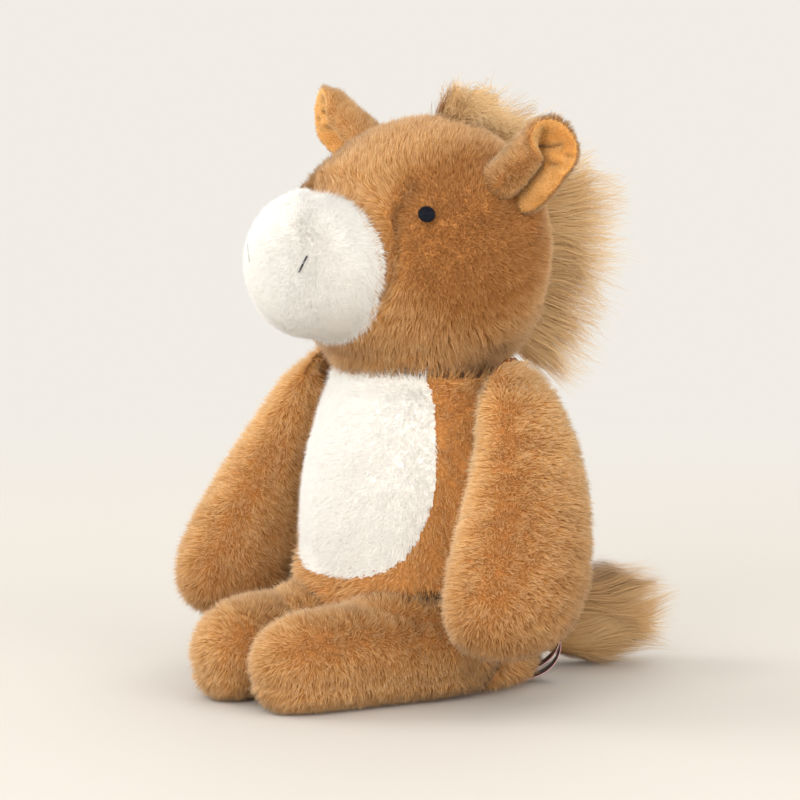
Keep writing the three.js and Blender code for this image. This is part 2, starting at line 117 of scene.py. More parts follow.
def ramp(nodes, stops):
    node = nodes.new("ShaderNodeValToRGB")
    points = node.color_ramp.elements
    while len(points) < len(stops):
        points.new(0.5)
    for point, (place, code) in zip(points, stops):
        point.position = place
        point.color = colour(code)
    return node


# A piece's own map, and the ways across and up it
def map_axes(nodes, links):
    own_map = nodes.new("ShaderNodeUVMap")
    own_map.uv_map = "OFBake"
    split = nodes.new("ShaderNodeSeparateXYZ")
    links.new(own_map.outputs["UV"], split.inputs[0])
    return own_map.outputs["UV"], split.outputs["X"], split.outputs["Y"]


def add_relief(nodes, links, shader, texture, strength, height):
    raised = nodes.new("ShaderNodeBump")
    raised.inputs["Strength"].default_value = strength
    raised.inputs["Distance"].default_value = height
    links.new(texture.outputs["Fac"], raised.inputs["Height"])
    links.new(raised.outputs["Normal"], shader.inputs["Normal"])


# Hair runs from root to tip up its own map, and from its darkest to its palest hairs across it
def hair_finish(name, dark, pale, roughness=0.7, sheen=0.1):
    finish, nodes, links, shader = new_finish(name, roughness, sheen)
    across, up = map_axes(nodes, links)[1:]
    mix = nodes.new("ShaderNodeMix")
    mix.data_type = "RGBA"
    links.new(across, mix.inputs["Factor"])
    for stops, socket in ((dark, MIX_LOW), (pale, MIX_HIGH)):
        tones = ramp(nodes, stops)
        links.new(up, tones.inputs["Fac"])
        links.new(tones.outputs["Color"], mix.inputs[socket])
    links.new(mix.outputs[MIXED], shader.inputs["Base Color"])
    return finish


# Colours that follow a texture in space
def colour_by(nodes, links, shader, texture, stops):
    place = nodes.new("ShaderNodeTexCoord")
    links.new(place.outputs["Object"], texture.inputs["Vector"])
    tones = ramp(nodes, stops)
    links.new(texture.outputs["Fac"], tones.inputs["Fac"])
    links.new(tones.outputs["Color"], shader.inputs["Base Color"])


# Woven backing, finely mottled
def cloth_finish(name, dark, pale):
    finish, nodes, links, shader = new_finish(name, 0.9, 0.2)
    grain = nodes.new("ShaderNodeTexNoise")
    grain.inputs["Scale"].default_value = 700.0
    grain.inputs["Detail"].default_value = 4.0
    colour_by(nodes, links, shader, grain, [(0.3, dark), (0.7, pale)])
    add_relief(nodes, links, shader, grain, 0.3, 0.0004)
    return finish


# Twisted embroidery thread, with its twist across each stitch
def thread_finish(name, dark, pale):
    finish, nodes, links, shader = new_finish(name, 0.6)
    shader.inputs["Specular IOR Level"].default_value = 0.12
    twist = nodes.new("ShaderNodeTexWave")
    twist.bands_direction = "DIAGONAL"
    twist.inputs["Scale"].default_value = 900.0
    twist.inputs["Distortion"].default_value = 1.5
    colour_by(nodes, links, shader, twist, [(0.2, dark), (0.9, pale)])
    return finish


# Satin ribbon with a woven coloured edge, across and along its own map
def ribbon_finish(name):
    finish, nodes, links, shader = new_finish(name, 0.38)
    own_map, across = map_axes(nodes, links)[:2]
    stripes = ramp(nodes, [
        (0.0, "E0B4B8"), (0.04, "B05860"), (0.07, "7A2C38"), (0.1, "2A1219"),
        (0.9, "7A2C38"), (0.93, "B05860"), (0.96, "E8D4D4"), (1.0, "E8D4D4"),
    ])
    stripes.color_ramp.interpolation = "CONSTANT"
    links.new(across, stripes.inputs["Fac"])
    links.new(stripes.outputs["Color"], shader.inputs["Base Color"])
    weave = nodes.new("ShaderNodeTexWave")
    weave.inputs["Scale"].default_value = 60.0
    links.new(own_map, weave.inputs["Vector"])
    add_relief(nodes, links, shader, weave, 0.15, 0.0002)
    return finish


BROWN_FUR = hair_finish(
    "brown_fur",
    [(0.0, "74431A"), (0.5, "9C622A"), (1.0, "BC8144")],
    [(0.0, "BE8040"), (0.5, "E4A860"), (1.0, "FDDDAE")])
WHITE_PLUSH = hair_finish(
    "white_plush",
    [(0.0, "E2D8C8"), (0.5, "EFE8DB"), (1.0, "F8F3EA")],
    [(0.0, "FAF4EA"), (0.5, "FDF9F0"), (1.0, "FFFCF5")], sheen=0.35)
# Its dark end is painted shade, for the folds and the slit of the ears' lining
GOLD_NAP = hair_finish(
    "gold_nap",
    [(0.0, "3C1E08"), (1.0, "7A4A1A")],
    [(0.0, "DC9240"), (1.0, "FFCE86")])
MANE_HAIR = hair_finish(
    "mane_hair",
    [(0.0, "986A38"), (0.4, "BC9058"), (1.0, "D0AA76")],
    [(0.0, "BC8C54"), (0.4, "E0BA84"), (1.0, "F0D6A8")], roughness=0.6)
BROWN_BACKING = cloth_finish("brown_backing", "A66C34", "C88C4E")
WHITE_BACKING = cloth_finish("white_backing", "FAF6EE", "FFFDF8")
GOLD_BACKING = cloth_finish("gold_backing", "B87A34", "DA9C4C")
BLACK_THREAD = thread_finish("black_thread", "040508", "161A26")
RIBBON = ribbon_finish("satin_ribbon")


def put_in_scene(name, data):
    thing = bpy.data.objects.new(name, data)
    bpy.context.scene.collection.objects.link(thing)
    return thing


# A new smooth piece from a bmesh, with its materials
def new_piece(name, mesh, *finishes):
    for face in mesh.faces:
        face.smooth = True
    data = bpy.data.meshes.new(name)
    mesh.to_mesh(data)
    mesh.free()
    for finish in finishes:
        data.materials.append(finish)
    return put_in_scene(name, data)


# Make the modifiers of a piece part of its mesh
def settle(piece):
    finishes = list(piece.data.materials)
    view = bpy.context.evaluated_depsgraph_get()
    shaped = bpy.data.meshes.new_from_object(piece.evaluated_get(view))
    piece.modifiers.clear()
    piece.data = shaped
    shaped.materials.clear()
    for finish in finishes:
        shaped.materials.append(finish)


# Delete all but the largest connected part of a mesh
def keep_largest(mesh):
    left = set(mesh.verts)
    parts = []
    while left:
        stack = [left.pop()]
        part = set(stack)
        while stack:
            for edge in stack.pop().link_edges:
                for vert in edge.verts:
                    if vert in left:
                        left.discard(vert)
                        part.add(vert)
                        stack.append(vert)
        parts.append(part)
    parts.sort(key=len)
    for part in parts[:-1]:
        bmesh.ops.delete(mesh, geom=list(part), context="VERTS")


# The CAD skins of each body
SKINS = {
    "torso": ("torso_skin", "belly_panel"), "head": ("head_skin", "muzzle_skin"),
    "arm_left": ("arm_left_skin",), "arm_right": ("arm_right_skin",),
    "leg_left": ("leg_left_skin",), "leg_right": ("leg_right_skin",),
    "ear_left": ("ear_left_back",), "ear_right": ("ear_right_back",),
}


# A smooth closed form in the place of a body's CAD solids, taken in by the depth of its pile,
# but not where it touches another body or rests on the floor. shape gives how each place also
# moves.
def stuffed_form(body, shape, *finishes):
    others = [node for other, skins in SKINS.items() if other != body for node in skins]
    beside = search_tree(*map(cad_mesh, others))
    mesh = bmesh.new()
    for node in (*SKINS[body], body + "_stuffing"):
        mesh.from_mesh(cad_mesh(node))
    bmesh.ops.remove_doubles(mesh, verts=mesh.verts, dist=1e-6)
    piece = new_piece(body + "_body", mesh, *finishes)
    remesh = piece.modifiers.new("Remesh", "REMESH")
    remesh.mode = "VOXEL"
    remesh.voxel_size = VOXEL
    smooth = piece.modifiers.new("Smooth", "SMOOTH")
    smooth.factor = 0.5
    smooth.iterations = SMOOTHINGS
    settle(piece)
    shaped = bmesh.new()
    shaped.from_mesh(piece.data)
    keep_largest(shaped)
    shaped.normal_update()
    moves = []
    for vert in shaped.verts:
        apart = beside.find_nearest(vert.co)[3]
        depth = PILE * clamp((apart - CONTACT) / CONTACT_FADE)
        if vert.co.z < SEAT_RISE:
            depth *= 1 + SEAT_PRESS * min(0, vert.normal.z)
        moves.append(shape(vert.co, vert.normal) - vert.normal * depth)
    for vert, move in zip(shaped.verts, moves):
        vert.co += move
    for face in shaped.faces:
        face.smooth = True
    shaped.to_mesh(piece.data)
    shaped.free()
    return piece


# A search tree over some meshes
def search_tree(*meshes):
    joined = bmesh.new()
    for data in meshes:
        joined.from_mesh(data)
    tree = BVHTree.FromBMesh(joined)
    joined.free()
    return tree


def cad_mesh(node):
    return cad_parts[node].data


# The place on a surface that shows at a point of the photograph
def seen_at(tree, across, down):
    middle = PHOTO_SIZE / 2
    ray = CAMERA_TURN @ Vector(((across - middle) / LENS, (middle - down) / LENS, -1))
    return tree.ray_cast(CAMERA_PLACE, ray.normalized())[0]


# How near a place is to a route, from 0 far off to 1 on it
def nearness(place, route, width):
    away = []
    for start, end in zip(route, route[1:]):
        run = end - start
        share = clamp((place - start).dot(run) / run.length_squared)
        away.append((place - (start + run * share)).length)
    return math.exp(-(min(away) / width) ** 2)


def unit(vectors):
    return vectors / np.maximum(np.linalg.norm(vectors, axis=-1, keepdims=True), 1e-12)


# What is left of some directions when they are laid flat on the surface
def laid_flat(ways, out):
    return ways - out * (ways * out).sum(1)[:, None]


# A smooth random drift of directions over the surface, from a few waves
def drift(places, size, seed):
    rng = np.random.default_rng(seed)
    directions = unit(rng.normal(size=(DRIFT_WAVES, 3)))
    waves = directions * (2 * math.pi / size) * rng.uniform(0.6, 1.5, (DRIFT_WAVES, 1))
    phases = rng.uniform(0, 2 * math.pi, (DRIFT_WAVES, 3))
    heights = rng.normal(size=(DRIFT_WAVES, 3)) / math.sqrt(DRIFT_WAVES)
    return sum(
        np.sin((places @ wave)[:, None] + phase) * height
        for wave, phase, height in zip(waves, phases, heights))


# A ball in rings from its lower pole up, moved and sized by place. Unlike the ready-made one,
# its points have the same order each time, and so the fur on it is the same.
def ball(mesh, segments, rings, place=Matrix()):
    rows = []
    for i in range(rings + 1):
        tilt = math.pi * i / rings
        turns = [math.tau * j / segments for j in range(segments if 0 < i < rings else 1)]
        rows.append([
            mesh.verts.new(place @ Vector((
                math.sin(tilt) * math.cos(turn), math.sin(tilt) * math.sin(turn),
                -math.cos(tilt))))
            for turn in turns])
    for low, high in zip(rows, rows[1:]):
        for i in range(segments):
            j = i + 1
            corners = low[i % len(low)], low[j % len(low)], high[j % len(high)], high[i % len(high)]
            mesh.faces.new(list(dict.fromkeys(corners)))


def everywhere(places, facings):
    return np.ones(len(places), bool)


# Random places on a piece's surface, evenly spread where owner tests that they may be, with the
# way the surface faces
def scatter(piece, count, rng, owner):
    data = piece.data
    data.calc_loop_triangles()
    corners = np.empty(len(data.loop_triangles) * 3, np.int32)
    data.loop_triangles.foreach_get("vertices", corners)
    corners = corners.reshape(-1, 3)
    at, out = np.empty((2, len(data.vertices) * 3))
    data.vertices.foreach_get("co", at)
    data.vertices.foreach_get("normal", out)
    at, out = at.reshape(-1, 3), out.reshape(-1, 3)
    wanted = owner(at, out)[corners].any(1)
    at, out = at[corners], out[corners]
    area = np.linalg.norm(np.cross(at[:, 1] - at[:, 0], at[:, 2] - at[:, 0]), axis=1) * wanted
    chosen = rng.choice(len(area), count, p=area / area.sum())
    share = rng.random((count, 2))
    folded = share.sum(1) > 1
    share[folded] = 1 - share[folded]
    weights = np.column_stack([1 - share.sum(1), share])[:, :, None]
    roots, out = (at[chosen] * weights).sum(1), unit((out[chosen] * weights).sum(1))
    kept = owner(roots, out)
    return roots[kept], out[kept]


# A piece of many like hairs, which no operator lays out. loop lists the points of one hair's
# faces, and sizes how many points each face has. places, normals and own_map have a row a hair.
def hair_piece(name, places, normals, own_map, loop, sizes, finish, body):
    count, size = places.shape[:2]
    steps = np.arange(count)[:, None]
    loops = (np.array(loop)[None] + steps * size).reshape(-1).astype(np.int32)
    starts = np.concatenate([[0], np.cumsum(sizes)[:-1]])
    starts = (starts[None] + steps * len(loop)).reshape(-1).astype(np.int32)
    places = places.copy()
    places[..., 2] = np.maximum(places[..., 2], FLOOR_GAP)
    data = bpy.data.meshes.new(name)
    data.vertices.add(count * size)
    data.loops.add(len(loops))
    data.polygons.add(len(starts))
    data.vertices.foreach_set("co", places.reshape(-1).astype(np.float32))
    data.loops.foreach_set("vertex_index", loops)
    data.polygons.foreach_set("loop_start", starts)
    data.update()
    layer = data.uv_layers.new(name="OFBake")
    layer.uv.foreach_set("vector", own_map.reshape(-1, 2)[loops].reshape(-1).astype(np.float32))
    data.validate()
    data.normals_split_custom_set_from_vertices(unit(normals.reshape(-1, 3)).tolist())
    data.materials.append(finish)
    piece = put_in_scene(name, data)
    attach(piece, body)
    return piece


# Where each hair's points lie on its map: its tone across, and from root to tip up
def hair_map(tone, across, up):
    return np.stack(np.broadcast_arrays(
        np.clip(tone, 0.01, 0.99)[:, None] + across[None] * 0.006,
        (0.02 + 0.96 * up)[None]), 2)


# Long flat hairs. Each follows a row of points to its tip and faces a given way, and its tone
# from 0 to 1 is how pale it is.
def long_hair(name, paths, width, facing, tone, finish, body):
    points = paths.shape[1]
    levels = np.linspace(0, 1, points)
    run = unit(np.gradient(paths, axis=1))
    side = unit(np.cross(run, facing[:, None]))
    flat = unit(np.cross(side, run))
    half = (width[:, None] / 2 * (1 - 0.85 * levels ** 2))[..., None]
    toward = unit(flat * 0.8 + facing[:, None] * 0.2)

    # Two points on each level, and one at the tip
    def doubled(rows, aside):
        pair = np.stack([rows - aside, rows + aside], 2)[:, :-1]
        return np.concatenate([pair.reshape(len(rows), -1, 3), rows[:, -1:]], 1)

    own_map = hair_map(
        tone, np.append(np.tile([-1, 1], points - 1), 0),
        np.append(np.repeat(levels[:-1], 2), 1.0))
    loop, sizes = [], []
    for i in range(0, 2 * (points - 2), 2):
        loop += [i, i + 1, i + 3, i + 2]
        sizes.append(4)
    loop += [2 * points - 4, 2 * points - 3, 2 * points - 2]
    return hair_piece(
        name, doubled(paths, side * half), doubled(toward, side * 0.25), own_map,
        loop, sizes + [3], finish, body)


# Short straight hairs of three sides, from their roots to their tips
def bristles(name, roots, tips, width, facing, tone, finish, body):
    run = unit(tips - roots)
    side = unit(np.cross(run, facing))
    other = np.cross(run, side)
    ring = [side * math.cos(turn) + other * math.sin(turn) for turn in (0, THIRD, 2 * THIRD)]
    radius = (width / math.sqrt(3))[:, None]
    places = np.stack([roots + edge * radius for edge in ring] + [tips], 1)
    normals = np.stack([facing + edge * 0.6 for edge in ring] + [facing], 1)
    own_map = hair_map(tone, np.array([-1, 1, 0, 0]), np.array([0, 0, 0, 1]))
    return hair_piece(
        name, places, normals, own_map, [0, 1, 3, 1, 2, 3, 2, 0, 3], [3, 3, 3], finish, body)


# Short fur over a form. comb gives the way that the hair lies, and how far it leans from
# straight out, from 0 to 1. look gives the length share and the tone of each hair. owner
# tests which places have it, and ruffle is how much its way wanders.
def fur(name, form, body, finish, count, length, width, comb, look, seed,
        owner=everywhere, ruffle=1.0):
    rng = np.random.default_rng(seed)
    roots, out = scatter(form, int(count * HAIR_SHARE), rng, owner)
    count = len(roots)
    way, lean = comb(roots, out)
    share, tone = look(roots, out)
    free = np.ones(count)
    if body in ("head", "torso"):
        from_neck = np.linalg.norm(roots - np.array(NECK), axis=1)
        free = np.clip((from_neck - NECK_REACH) / NECK_FADE, 0, 1)
    lean = lean * (0.3 + 0.7 * free)
    share = share * (1.6 - 0.6 * free)
    # The fur's way wanders at two scales, and each hair leans by itself
    way = unit(laid_flat(way, out)) * lean[:, None] + drift(roots, 0.013, seed + 1) * 0.17 * ruffle
    way = way + drift(roots, 0.005, seed + 2) * 0.13 * ruffle + rng.normal(size=(count, 3)) * 0.16
    way = laid_flat(way, out)
    guard = rng.random(count) < GUARD_SHARE
    long = length * share * rng.uniform(0.72, 1.1, count) * np.where(guard, 1.3, 1)
    tone = tone + rng.normal(size=count) * 0.16 + drift(roots, 0.009, seed + 3)[:, 0] * 0.06
    tone = tone + guard * 0.1
    tips = roots + unit(out + way) * long[:, None]
    wide = width * rng.uniform(0.75, 1.25, count) * np.where(guard, 0.8, 1) / math.sqrt(HAIR_SHARE)
    piece = bristles(name, roots - out * ROOT_DEPTH, tips, wide, out, tone, finish, body)
    return piece


def other_side(test):
    return lambda places, facings: ~test(places, facings)


# Places as seen from the head's centre, in the head's own directions
def head_local(places):
    return (places - np.array(HEAD_CENTRE)) @ np.array(HEAD_TURN)


# Fur of an even length, whose tone rises by so much from the floor up to 16 cm. Where it rises,
# that is painted light, paler towards the top where light falls from above.
def plain_look(tone, rise=0.0):
    def look(roots, out):
        large = drift(roots, 0.05, 5)[:, 0]
        up = np.clip(roots[:, 2] / 0.16, 0, 1)
        return np.ones(len(roots)), tone + rise * up + 0.06 * large
    return look


# Fur that lies one way
def combed(way, lean):
    direction = np.array(way, float)

    def comb(roots, out):
        return np.broadcast_to(direction, roots.shape), np.full(len(roots), lean)
    return comb


# Give a body's white faces its second finish
def by_owner(piece, is_white):
    centres = np.array([face.center for face in piece.data.polygons])
    facings = np.array([face.normal for face in piece.data.polygons])
    piece.data.polygons.foreach_set(
        "material_index", is_white(centres, facings).astype(np.int32))


# The legs are flatter towards the hip, and the lap rests on them
def flattened(place):
    share = np.interp(place.y, (-0.125, -0.09, -0.045, 0), (0, 0.06, 0.2, 0.2))
    return Vector((0, 0, -place.z * float(share)))


LEG_TREE = search_tree(cad_mesh("leg_left_skin"), cad_mesh("leg_right_skin"))


def lap_shape(place, facing):
    apart = LEG_TREE.find_nearest(place)[3]
    return flattened(place) * clamp(1.1 - apart / 0.016)


# The torso and its white belly panel
torso = stuffed_form("torso", lap_shape, BROWN_BACKING, WHITE_BACKING)

PANEL_MIDDLE = -0.0035
PANEL_TOP = 0.168

# The outline of the panel: [across from its middle, up from the floor]
PANEL_EDGE = np.array([
    (0, 0.0605), (0.0134, 0.061), (0.0226, 0.0625), (0.0326, 0.0662), (0.0393, 0.0725),
    (0.0443, 0.082), (0.0474, 0.0924), (0.0493, 0.1025), (0.0486, 0.1174), (0.046, 0.132),
    (0.0405, 0.148), (0.034, 0.16), (0.03, 0.17)])


def on_panel(places, facings):
    edge = np.interp(places[:, 2], PANEL_EDGE[:, 1], PANEL_EDGE[:, 0], left=-1)
    across = np.abs(places[:, 0] - PANEL_MIDDLE)
    return (across < edge) & (places[:, 1] < 0) & (places[:, 2] < PANEL_TOP)


by_owner(torso, on_panel)
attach(torso, "torso")
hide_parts("torso_skin", "torso_stuffing", "seat_pellets")

fur("torso_fur", torso, "torso", BROWN_FUR,
    count=52000, length=0.0064, width=0.00044,
    comb=combed((0, 0, -1), 0.5), look=plain_look(0.68), seed=11, owner=other_side(on_panel))
belly = fur(
    "belly_plush", torso, "torso", WHITE_PLUSH,
    count=38000, length=0.0044, width=0.00046,
    comb=combed((0, -0.2, -1), 0.4), look=plain_look(0.8), seed=12, owner=on_panel, ruffle=0.5)
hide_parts("belly_panel")


# The head and its white muzzle. A dart in front of each eye draws the cheek in.
head_tree = search_tree(cad_mesh("head_skin"), cad_mesh("muzzle_skin"))


def head_world(point):
    return HEAD_CENTRE + HEAD_TURN @ Vector(point)


def in_head(place):
    return HEAD_TURN.transposed() @ (place - HEAD_CENTRE)


# The same place on the head's other side
def mirrored(place):
    at = in_head(place)
    return head_world((-at.x, at.y, at.z))


# A route over the head through points of the photograph, and the same on its other side
def both_sides(points):
    route = [seen_at(head_tree, *point) for point in points]
    return route, [mirrored(place) for place in route]


DARTS = both_sides([(419, 178), (405, 198), (396, 222), (394, 249), (389, 276), (380, 302)])

# The left dart from the head's centre: how far up and how far back it runs
DART_UP, DART_BACK = zip(*sorted((at.z, at.y) for at in map(in_head, DARTS[0])))
CHEEK = in_head(seen_at(head_tree, 486, 232))


# How far back the muzzle's seam is at a place, from the head's centre. It comes forward over
# the nose.
def muzzle_seam(at):
    nose = np.clip((at[:, 2] - 0.012) / 0.014, 0, 1)
    bridge = np.maximum(0, 0.016 - np.abs(at[:, 0])) * 0.9 * nose
    return -0.0662 - 0.34 * np.maximum(0, at[:, 2] - 0.007) - bridge


def on_muzzle(places, facings):
    at = head_local(places)
    return at[:, 1] < muzzle_seam(at)


# The darts are drawn in, and the muzzle stands a little out
def head_shape(place, facing):
    at = head_local(np.array([place]))
    dart = max(nearness(place, route, 0.0038) for route in DARTS)
    white = clamp((muzzle_seam(at)[0] - at[0, 1] + 0.003) / 0.006)
    return facing * (0.0024 * white - 0.0046 * dart)


head = stuffed_form("head", head_shape, BROWN_BACKING, WHITE_BACKING)
by_owner(head, on_muzzle)
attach(head, "head")
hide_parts("head_skin", "head_stuffing")

eye_place = {side: sum(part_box("eye_" + side), Vector()) / 2 for side in ("left", "right")}
nostril_place = {side: sum(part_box("nostril_" + side), Vector()) / 2 for side in ("left", "right")}
for place in nostril_place.values():
    place += Vector((0, 0, 0.002))


# How much hair is left at a place by round bare spots
def clear_spots(roots, spots, radius, fade):
    left = np.ones(len(roots))
    for spot in spots:
        away = np.linalg.norm(roots - np.array(spot), axis=1)
        left = np.minimum(left, np.clip((away - radius) / fade, 0, 1))
    return left


# How places lie from the middle of the cheek on their side, as on the left one
def from_cheek(at):
    return np.column_stack([np.abs(at[:, 0]), at[:, 1], at[:, 2]]) - np.array(CHEEK)


# The head's fur lies away from the cheek, and back over the crown
def head_comb(roots, out):
    at = head_local(roots)
    away = from_cheek(at)
    away[:, 0] *= 0.35 * np.sign(at[:, 0])
    far = np.linalg.norm(away, axis=1)
    beside = np.clip((np.abs(at[:, 0]) - 0.004) / 0.03, 0, 1)[:, None]
    way = unit(away) * beside + np.array((0, 0.8, 0.3)) * (1 - beside)
    way = way @ np.array(HEAD_TURN).T + np.array((0, 0.15, -0.15))
    return way, np.clip(far / 0.055, 0.06, 0.85)


# The fur is darker on the cheek, behind the dart, and short round the eye
def head_look(roots, out):
    at = head_local(roots)
    away = np.linalg.norm(from_cheek(at), axis=1)
    cheek = np.clip((0.058 - away) / 0.02, 0, 1)
    cheek *= np.clip((at[:, 1] - np.interp(at[:, 2], DART_UP, DART_BACK)) / 0.003 + 0.5, 0, 1)
    tone = 0.51 - 0.51 * cheek
    left = clear_spots(roots, eye_place.values(), 0.0038, 0.004)
    return (0.25 + 0.75 * left) * (1 - 0.2 * cheek), tone + 0.04 * drift(roots, 0.05, 8)[:, 0]


def head_coat(places, facings):
    off_eyes = clear_spots(places, eye_place.values(), 0.0048, 0.001) > 0.5
    return ~on_muzzle(places, facings) & off_eyes


def on_left(places, facings):
    return head_coat(places, facings) & (head_local(places)[:, 0] >= 0)


def on_right(places, facings):
    return head_coat(places, facings) & (head_local(places)[:, 0] < 0)


for name, half, seed in (("head_left_fur", on_left, 21), ("head_right_fur", on_right, 24)):
    fur(name, head, "head", BROWN_FUR, count=57000, length=0.006, width=0.00045,
        comb=head_comb, look=head_look, seed=seed, owner=half)


# The muzzle's fur lies away from its tip, and stands where it has no way to lie
def muzzle_comb(roots, out):
    at = head_local(roots)
    way = np.column_stack([at[:, 0] * 25, np.full(len(at), 0.5), at[:, 2] * 22 - 0.75])
    way = way @ np.array(HEAD_TURN).T
    return way, np.clip(np.linalg.norm(laid_flat(way, out), axis=1) * 0.8, 0, 0.55)


# The muzzle's fur is longer at its seam, and short round the nostrils
def muzzle_look(roots, out):
    at = head_local(roots)
    fringe = np.clip(1 - (muzzle_seam(at) - at[:, 1]) / 0.01, 0, 1)
    left = clear_spots(roots, nostril_place.values(), 0.0006, 0.002)
    return (0.5 + 0.5 * left) * (1 + 0.5 * fringe), np.full(len(roots), 0.84)


muzzle = fur(
    "muzzle_plush", head, "head", WHITE_PLUSH,
    count=56000, length=0.004, width=0.00043,
    comb=muzzle_comb, look=muzzle_look, seed=22, owner=on_muzzle, ruffle=0.4)
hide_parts("muzzle_skin")


# One satin stitch: a slim oval of thread between two points
def stitch(mesh, start, end, thick):
    start, end = Vector(start), Vector(end)
    run = end - start
    turn = run.to_track_quat("X", "Z").to_matrix().to_4x4()
    size = Matrix.Diagonal((run.length / 2 + thick / 2, thick / 2, thick / 2, 1))
    place = Matrix.Translation((start + end) / 2) @ turn @ size
    ball(mesh, 8, 6, place)


# The way that the head's surface faces at a place, and two directions along it
def surface_axes(form, place):
    found = form.closest_point_on_mesh(place)
    out = found[2].normalized()
    level = Vector((0, 0, 1)).cross(out).normalized()
    return out, level, out.cross(level)


# Stitches that stand for a CAD node of the head
def stitching(name, mesh, node):
    piece = new_piece(name, mesh, BLACK_THREAD)
    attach(piece, "head")
    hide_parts(node)


# Eyes: a round of close upright stitches over a padded round
def eye(side):
    out, level, tall = surface_axes(head, eye_place[side])
    aside = -0.0011 if side == "left" else 0.0011
    place = eye_place[side] + level * aside - out * 0.001
    mesh = bmesh.new()
    radius, thick, crown, rows = 0.0043, 0.000713, 0.0009, 13
    for i in range(rows):
        across = (i + 0.5) / rows * 2 - 1
        half = math.sqrt(1 - across * across) * radius
        middle = place + level * (across * radius) + out * (crown * (1 - across * across))
        # Two stitches make each row, and overlap in its middle
        for low, high in ((-1.0, 0.06), (-0.06, 1.0)):
            start = middle + tall * half * low
            end = middle + tall * half * high + out * 1e-4
            stitch(mesh, start, end, thick)
    turn = Matrix((level, tall, out)).transposed().to_4x4()
    size = Matrix.Diagonal((radius * 0.98, radius * 0.98, 0.0011, 1))
    ball(mesh, 24, 12, Matrix.Translation(place) @ turn @ size)
    stitching("eye_stitching_" + side, mesh, "eye_" + side)


# Nostrils: a short slanting row of stitches
def nostril(side):
    place = nostril_place[side]
    out, level, tall = surface_axes(head, place)
    lean = -0.5 if side == "left" else 0.5
    line = (tall * math.cos(lean) - level * math.sin(lean)).normalized()
    beside = line.cross(out)
    mesh = bmesh.new()
    thick, overlap = 0.0005, line * 0.0004
    for offset, reach in ((-0.0003, 0.0046), (0.0, 0.005), (0.0003, 0.0046)):
        middle = place - out * 0.0013 + beside * offset
        stitch(mesh, middle - line * reach, middle + overlap, thick)
        stitch(mesh, middle - overlap, middle + line * reach, thick)
    stitching("nostril_stitching_" + side, mesh, "nostril_" + side)


for side in ("left", "right"):
    eye(side)
    nostril(side)


# Arms and legs
def limb(kind, side, comb, look, count, seed, shape):
    node = kind + "_" + side
    form = stuffed_form(node, shape, BROWN_BACKING)
    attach(form, node)
    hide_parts(node + "_skin", node + "_stuffing")
    fur(node + "_fur", form, node, BROWN_FUR, count, length=0.0063, width=0.00042,
        comb=comb, look=look, seed=seed)


# An arm's fur lies down it, flatter towards the top
def arm_comb(roots, out):
    way = np.broadcast_to(np.array((0, -0.1, -1)), roots.shape)
    return way, np.clip(0.3 + (roots[:, 2] - 0.03) * 1.6, 0.25, 0.5)


# A leg's fur lies forward and down, flatter near the floor
def leg_comb(roots, out):
    way = np.broadcast_to(np.array((0, -0.6, -0.8)), roots.shape)
    return way, np.clip(0.6 - (roots[:, 2] - 0.02) * 6, 0.3, 0.6)


TORSO_TREE = search_tree(cad_mesh("torso_skin"))


# The top of an arm is round beside the torso
def arm_shape(place, facing):
    apart = TORSO_TREE.find_nearest(place)[3]
    beside = 1 - clamp((apart - CONTACT) / CONTACT_FADE)
    up = max(0, facing.z) * clamp((place.z - 0.11) / 0.02)
    return facing * (-0.006 * beside * up)


# The fur of a leg is longer where it meets the torso
def leg_look(roots, out):
    share, tone = plain_look(0.62)(roots, out)
    apart = np.array([TORSO_TREE.find_nearest(Vector(place))[3] for place in roots.tolist()])
    return share * (1 + 0.5 * np.clip(1 - apart / 0.008, 0, 1)), tone


# The foot of the left leg reaches further
def leg_shape(side):
    reach = Vector((-0.005, -0.007, 0)) if side == "left" else Vector((0.001, -0.003, 0))

    def shape(place, facing):
        forward = clamp((-0.05 - place.y) / 0.06)
        return reach * forward + flattened(place)
    return shape


for number, side in enumerate(("left", "right")):
    # The arms' tone rises towards their tops: painted light from above
    limb("arm", side, arm_comb, plain_look(0.2, 0.92), 55000, 31 + 10 * number, arm_shape)
    limb("leg", side, leg_comb, leg_look, 44000, 51 + 10 * number, leg_shape(side))


# Ears. Each is a leaf of a fur pad and a lining pad, stitched at the rim. Its rear half makes
# a deep wall, and its front half rolls over the opening, except at the tip, where it opens.
EAR_LENGTH = 0.059
EAR_MIDDLE = 0.0025    # where the root is across the leaf
LINING = -0.0028       # how far out of the leaf the lining's face is
EAR_ROOT = {1: Vector((0.0478, 0.0039, 0.0294)), -1: Vector((0.042, 0.01, 0.0324))}


# An ear's turn, in degrees: which way it leans, how far, and where it opens
def turned(yaw, tilt, spin):
    steps = ((yaw, "Z"), (tilt, "Y"), (spin, "Z"))
    first, second, third = (Matrix.Rotation(math.radians(turn), 3, axis) for turn, axis in steps)
    return first @ second @ third


EAR_TURN = {1: turned(0, 45, 49), -1: turned(-30, 49, 42)}

# How each ear is rolled: the front roll's radius and reach, and the rear wall's
EAR_ROLL = {1: (0.0058, 0.0205, 0.0083, 0.0245), -1: (0.0045, 0.0133, 0.016, 0.0208)}


def eased(value):
    value = clamp(value)
    return value * value * (3 - 2 * value)


